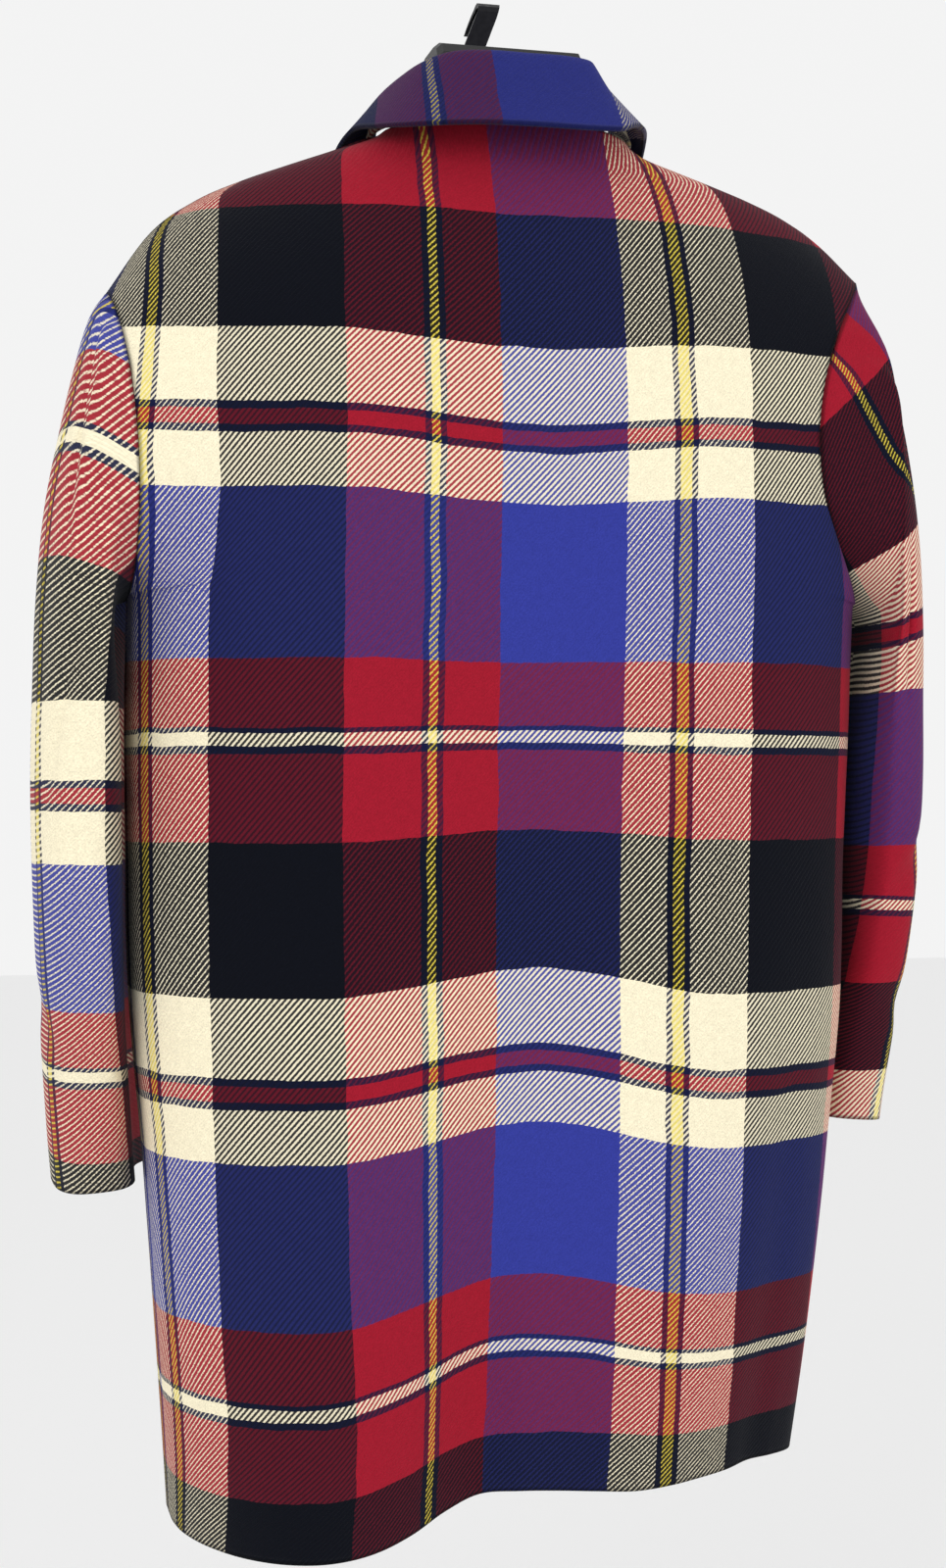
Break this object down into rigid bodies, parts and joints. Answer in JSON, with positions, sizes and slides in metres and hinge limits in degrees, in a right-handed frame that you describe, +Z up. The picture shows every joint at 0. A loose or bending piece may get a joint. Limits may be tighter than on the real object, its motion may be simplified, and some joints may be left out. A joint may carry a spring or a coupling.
{
  "type": "toggle coat on hanger",
  "caption": "Straight knee-length wool toggle coat with fall collar and long sleeves, closed in front and hung on a broad moulded hanger with a flat hook.",
  "frame": {"origin": "inner top of the hanger's hook, where it rests on a rod", "axes": "+Z up, -Y towards the coat's back, +Y towards its closed front, +X towards the coat's right side as seen from behind"},
  "size_m": [0.5769, 0.2554, 0.9593],
  "materials": {
    "wool": "napped twill in a large plaid, matt and slightly fuzzy",
    "hanger_plastic": "moulded black plastic",
    "hook_steel": "blackened steel strip",
    "toggle_wood": "dark polished wood",
    "cord": "black braided cord",
    "patch_leather": "black grained leather"
  },
  "bodies": {
    "root": {"back": "wool", "front_left": "wool", "front_right": "wool", "sleeve_left": "wool", "sleeve_right": "wool", "collar": "wool", "hanger": "hanger_plastic", "hanger_hook": "hook_steel", "toggle_1": "toggle_wood", "toggle_patch_left_1": "patch_leather", "toggle_loop_left_1": "cord", "toggle_patch_right_1": "patch_leather", "toggle_loop_right_1": "cord", "toggle_2": "toggle_wood", "toggle_patch_left_2": "patch_leather", "toggle_loop_left_2": "cord", "toggle_patch_right_2": "patch_leather", "toggle_loop_right_2": "cord", "toggle_3": "toggle_wood", "toggle_patch_left_3": "patch_leather", "toggle_loop_left_3": "cord", "toggle_patch_right_3": "patch_leather", "toggle_loop_right_3": "cord"}
  },
  "joints": []
}
